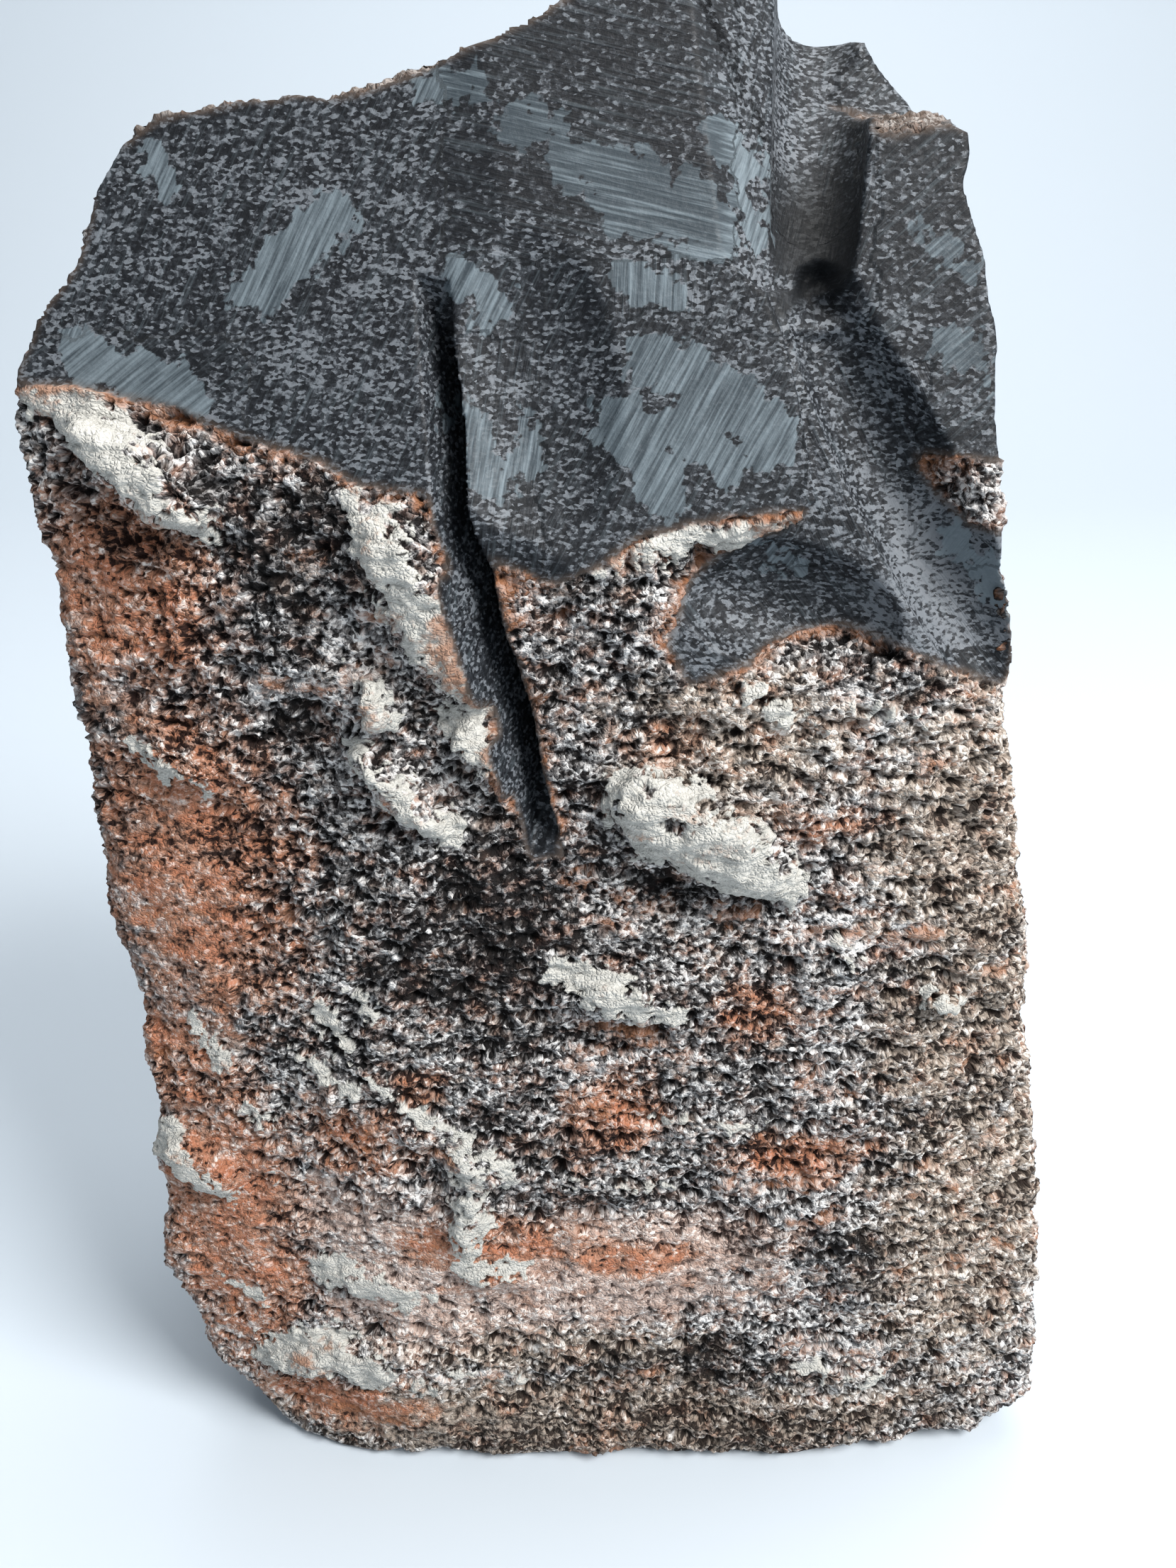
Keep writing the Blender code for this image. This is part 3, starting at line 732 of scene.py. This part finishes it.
groundLook = {
    "dark": (0.0045, 0.0055, 0.0075),
    "middle": (0.023, 0.026, 0.031),
    "light": (0.128, 0.140, 0.156),
    "toMiddle": (0.15, 0.8),
    "toLight": (0.62, 1.05),
    "spar": (0.034, 0.045, 0.054),
    "sparLight": (0.145, 0.178, 0.200),
    "sparCover": 0.9,
    # colour of the painted shade on the channel's floor
    "floor": (0.008, 0.009, 0.0105),
    "floorShadeCover": (0.3, 0.92),            # how much of the painted shade covers, on ground feldspar and elsewhere
    "brown": (0.085, 0.060, 0.045),
    "grain": (0.32, 0.32, 0.17),
    "fine": 1.8,                          # how much the patterns lighten and darken it
    "broad": 0.9,
    "strokeSize": (5.0, 2.0, 0.24),       # along a stroke, into the stone and across
    "strokeStreak": 0.25,
    # how much of the painted facet light and shade goes into the ground feldspar
    "strokeFacetLight": 0.7,
    "strokeBump": 0.10,
    "softBump": 0.06,
    "roughness": (0.68, -0.2),            # on the dullest grains, and how much glossier the others are
}


def weatheredFinish(tree, place, soft):
    walls, speck = cells(tree, place, weatheredLook["grain"])
    light = swung(tree, soft, weatheredTone["fine"], weatheredTone["even"])
    light = swung(tree, storedValue(tree, "broad"), weatheredTone["broad"], light)
    paleness = ramp(tree, storedValue(tree, "pale"), 0.1, 1.0)
    light = maths(tree, "MULTIPLY_ADD", paleness, weatheredTone["pale"], light)
    light = maths(tree, "ADD", light, ramp(tree, heightOf(tree, place), *weatheredTone["foot"]))
    light = swung(tree, speck, weatheredTone["speck"], light)
    for name in ("pit", "cavity"):
        light = maths(tree, "MULTIPLY_ADD", storedValue(tree, name), weatheredTone[name], light)
    # Darkens by the dark stains: partly the stone's darker charcoal, partly painted shadow under laths and
    # in hollows
    darkAndShadowShare = ramp(tree, storedValue(tree, "dark"), 0.2, 1.0)
    light = maths(tree, "MULTIPLY_ADD", darkAndShadowShare, weatheredTone["dark"], light)
    dusty = maths(tree, "MULTIPLY_ADD", light, *weatheredTone["dust"])
    light = mixValue(tree, ramp(tree, storedValue(tree, "dust"), 0.1, 1.0), light, dusty)

    share = ramp(tree, light, *weatheredLook["toMiddle"])
    colour = mixColour(tree, share, weatheredLook["hollow"], weatheredLook["middle"])
    colour = mixColour(tree, ramp(tree, light, *weatheredLook["toLight"]), colour, weatheredLook["light"])
    for name, (hollow, middle, crest, strength) in stainLook.items():
        share = maths(tree, "MULTIPLY", ramp(tree, storedValue(tree, name), 0.15, 1.0), strength)
        stained = mixColour(tree, ramp(tree, light, 0.0, 0.5), hollow, middle)
        stained = mixColour(tree, ramp(tree, light, 0.55, 1.05), stained, crest)
        colour = mixColour(tree, share, colour, stained)
    # The thickest rust is orange, but not in the hollows
    thick = ramp(tree, storedValue(tree, "rust"), 0.7, 1.3)
    spots = maths(tree, "MULTIPLY", thick, ramp(tree, light, 0.1, 0.5))
    colour = mixColour(tree, maths(tree, "MULTIPLY", spots, 0.5), colour, weatheredLook["orange"])
    # Laths split into flakes
    flakes = noise(tree, place, weatheredLook["flake"], 3.0, 0.65)
    pale = mixColour(tree, ramp(tree, flakes, 0.34, 0.54), weatheredLook["lathGrey"], weatheredLook["lath"])
    pale = mixColour(tree, ramp(tree, flakes, 0.36, 0.28), pale, weatheredLook["lathCrack"])
    share = swung(tree, soft, 0.9, storedValue(tree, "lath"))
    colour = mixColour(tree, ramp(tree, share, 0.3, 0.7), colour, pale)
    height = maths(tree, "MULTIPLY", soft, weatheredLook["softBump"])
    grains = ramp(tree, walls, 0.0, 0.3)
    return colour, maths(tree, "MULTIPLY_ADD", grains, weatheredLook["grainBump"], height)


def groundFinish(tree, place, soft):
    _, speck = cells(tree, place, groundLook["grain"])
    tone = swung(tree, soft, groundLook["fine"], speck)
    tone = swung(tree, storedValue(tree, "broad"), groundLook["broad"], tone)
    # Adds the painted light and shade of each facet
    tone = maths(tree, "ADD", tone, storedValue(tree, "tone"))
    share = ramp(tree, tone, *groundLook["toMiddle"])
    colour = mixColour(tree, share, groundLook["dark"], groundLook["middle"])
    colour = mixColour(tree, ramp(tree, tone, *groundLook["toLight"]), colour, groundLook["light"])
    # File strokes run along each facet's own direction
    angle = storedValue(tree, "stroke")
    apart = makeNode(tree, "ShaderNodeSeparateXYZ", {0: place})
    cosine = maths(tree, "COSINE", angle)
    sine = maths(tree, "SINE", angle)
    along = maths(tree, "MULTIPLY", apart.outputs[2], sine)
    along = maths(tree, "MULTIPLY_ADD", apart.outputs[0], cosine, along)
    across = maths(tree, "MULTIPLY", apart.outputs[2], cosine)
    across = maths(tree, "SUBTRACT", across, maths(tree, "MULTIPLY", apart.outputs[0], sine))
    turned = makeNode(tree, "ShaderNodeCombineXYZ", {0: along, 1: apart.outputs[1], 2: across}).outputs[0]
    strokes = noise(tree, turned, groundLook["strokeSize"], 2.0, 0.6)
    share = swung(tree, soft, 1.4, storedValue(tree, "spar"))
    share = maths(tree, "MULTIPLY", ramp(tree, share, 0.3, 0.75), groundLook["sparCover"])
    # Ground feldspar also takes the painted light and shade of its facet
    shaded = maths(tree, "MULTIPLY_ADD", storedValue(tree, "tone"), groundLook["strokeFacetLight"], strokes)
    pale = mixColour(tree, ramp(tree, shaded, 0.3, 0.75), groundLook["spar"], groundLook["sparLight"])
    colour = mixColour(tree, share, colour, pale)
    streak = maths(tree, "MULTIPLY", ramp(tree, strokes, 0.5, 0.8), groundLook["strokeStreak"])
    colour = mixColour(tree, streak, colour, groundLook["sparLight"])
    # Painted shade: the channel's floor is darkened as if in shadow
    cover = ramp(tree, storedValue(tree, "spar"), 1.0, 0.0, *groundLook["floorShadeCover"])
    floor = maths(tree, "MULTIPLY", storedValue(tree, "floor"), cover)
    colour = mixColour(tree, floor, colour, groundLook["floor"])
    height = maths(tree, "MULTIPLY", soft, groundLook["softBump"])
    height = maths(tree, "MULTIPLY_ADD", strokes, groundLook["strokeBump"], height)
    dull, glossier = groundLook["roughness"]
    return colour, maths(tree, "MULTIPLY_ADD", speck, glossier, dull), height


# Rust along the ragged line where the grinding stopped
fringeLook = {
    "fine": 0.8,
    "broad": 2.8,
    "spread": (0.2, 0.6),
    "height": (100.0, 95.0, 0.15, 0.8),      # less of it above this height than below that
    "top": (98.0, 103.0, 0.0, 0.65),         # the natural stone on top is brown instead
    "stain": (0.98, 0.6),
    "stainCover": 0.5,
}


wholeLook = {"soft": 0.42, "bump": 0.8, "specular": 0.2}


def cumberlandite():
    material = bpy.data.materials.new("cumberlandite")
    material.use_nodes = True
    tree = material.node_tree
    shader = tree.nodes["Principled BSDF"]
    shader.inputs["Specular IOR Level"].default_value = wholeLook["specular"]
    place = storedValue(tree, "place", True)
    natural = storedValue(tree, "natural")
    soft = noise(tree, place, wholeLook["soft"], 3.0, 0.65)
    rough, roughHeight = weatheredFinish(tree, place, soft)
    filed, polish, filedHeight = groundFinish(tree, place, soft)

    spread = swung(tree, soft, fringeLook["fine"], storedValue(tree, "fringe"))
    spread = swung(tree, storedValue(tree, "broad"), fringeLook["broad"], spread)
    high = heightOf(tree, place)
    fringe = ramp(tree, spread, *fringeLook["spread"])
    fringe = maths(tree, "MULTIPLY", fringe, ramp(tree, high, *fringeLook["height"]))
    fringe = maths(tree, "MULTIPLY", fringe, ramp(tree, storedValue(tree, "pit"), 1.0, 0.2))
    fringe = maths(tree, "MULTIPLY", fringe, ramp(tree, storedValue(tree, "bare"), 0.0, 1.0, 1.0, 0.1))
    rough = mixColour(tree, fringe, rough, weatheredLook["fringe"])
    rough = mixColour(tree, ramp(tree, high, *fringeLook["top"]), rough, groundLook["brown"])
    stained = ramp(tree, storedValue(tree, "ground"), *fringeLook["stain"])
    stained = maths(tree, "MULTIPLY", stained, fringeLook["stainCover"])
    filed = mixColour(tree, stained, filed, groundLook["brown"])
    tree.links.new(mixColour(tree, natural, filed, rough), shader.inputs["Base Color"])
    tree.links.new(mixValue(tree, natural, polish, weatheredLook["roughness"]), shader.inputs["Roughness"])
    height = mixValue(tree, natural, filedHeight, roughHeight)
    links = {"Height": height, "Distance": mm, "Strength": wholeLook["bump"]}
    bump = makeNode(tree, "ShaderNodeBump", links)
    tree.links.new(bump.outputs[0], shader.inputs["Normal"])
    return material


# Floor, light and camera

studio = {
    "floor": (0.50, 0.555, 0.61),
    "reach": 4.0,                 # to both sides and to the front
    "wall": (0.75, 1.4),          # how far back it stands and how high it is
    "rounding": (0.35, 12),       # between the floor and the wall, in so many steps
    "world": (0.80, 0.87, 0.94),
    "worldStrength": 0.45,
    "lamps": {
        "key": {"at": (0.24, -0.21, 0.36), "to": (0, 0, 0.06), "size": 0.20, "power": 3.7},
        "wall": {"at": (0.1, 0.35, 0.9), "to": (0.1, 0.75, 0.25), "size": 0.8, "power": 9.0},
    },
    "lampColour": (1.0, 0.985, 0.96),
    "camera": {"at": (-aside * mm, -0.0963, 0.0988), "down": 24, "focal": 1750, "side": 2212},
}


def addFloor():
    floor = bmesh.new()
    reach = studio["reach"]
    wall, wallTop = studio["wall"]
    rounding, steps = studio["rounding"]
    profile = [(-reach, 0.0), (wall - rounding, 0.0)]
    for step in range(1, steps + 1):
        turn = math.radians(90 * step / steps)
        profile.append((wall - rounding + rounding * math.sin(turn), rounding - rounding * math.cos(turn)))
    profile.append((wall, wallTop))
    rows = [[floor.verts.new((side * reach, y, z)) for side in (-1, 1)] for y, z in profile]
    for near, far in zip(rows, rows[1:]):
        floor.faces.new((near[0], near[1], far[1], far[0]))
    mesh = bpy.data.meshes.new("floor")
    floor.to_mesh(mesh)
    floor.free()
    mesh.shade_smooth()
    obj = bpy.data.objects.new("floor", mesh)
    bpy.context.scene.collection.objects.link(obj)
    paint = bpy.data.materials.new("paleFloor")
    paint.use_nodes = True
    shader = paint.node_tree.nodes["Principled BSDF"]
    shader.inputs["Base Color"].default_value = (*studio["floor"], 1)
    shader.inputs["Roughness"].default_value = 0.9
    mesh.materials.append(paint)


def addLight():
    scene = bpy.context.scene
    world = bpy.data.worlds.new("studio")
    world.use_nodes = True
    sky = world.node_tree.nodes["Background"]
    sky.inputs[0].default_value = (*studio["world"], 1)
    sky.inputs[1].default_value = studio["worldStrength"]
    scene.world = world
    scene.view_settings.view_transform = "Standard"
    for name, given in studio["lamps"].items():
        lamp = bpy.data.lights.new(name, "AREA")
        lamp.size = given["size"]
        lamp.energy = given["power"]
        lamp.color = studio["lampColour"]
        obj = bpy.data.objects.new(name, lamp)
        scene.collection.objects.link(obj)
        obj.location = given["at"]
        obj.rotation_euler = (Vector(given["to"]) - obj.location).to_track_quat("-Z", "Y").to_euler()


def addCamera():
    view = studio["camera"]
    lens = bpy.data.cameras.new("camera")
    lens.sensor_width = 36
    lens.lens = view["focal"] / view["side"] * lens.sensor_width
    lens.clip_start = 0.001
    obj = bpy.data.objects.new("camera", lens)
    bpy.context.scene.collection.objects.link(obj)
    obj.location = view["at"]
    obj.rotation_euler = (math.radians(90 - view["down"]), 0, 0)
    bpy.context.scene.camera = obj


finish = cumberlandite()
seam = stone["seamY"]
lap = stone["seamLap"]
low, high = stone["seamZ"]
frontSpare, backSpare = stone["spare"]

front = weatheredStone(stone["frontVoxel"], lambda m: m[:, 1] < seam + frontSpare)
print("front surface weathered")
addPiece(front, "stoneFoot", lambda m: (m[:, 1] < seam) & (m[:, 2] < low), finish)
addPiece(front, "stoneWaist", lambda m: (m[:, 1] < seam) & (m[:, 2] >= low) & (m[:, 2] < high), finish)
addPiece(front, "stoneCrown", lambda m: (m[:, 1] < seam) & (m[:, 2] >= high), finish)
bpy.data.objects.remove(front)

back = weatheredStone(stone["backVoxel"], lambda m: m[:, 1] > seam - backSpare)
print("back surface weathered")
addPiece(back, "stoneBack", lambda m: m[:, 1] > seam - lap, finish)
bpy.data.objects.remove(back)

addFloor()
addLight()
addCamera()
print("studio ready")
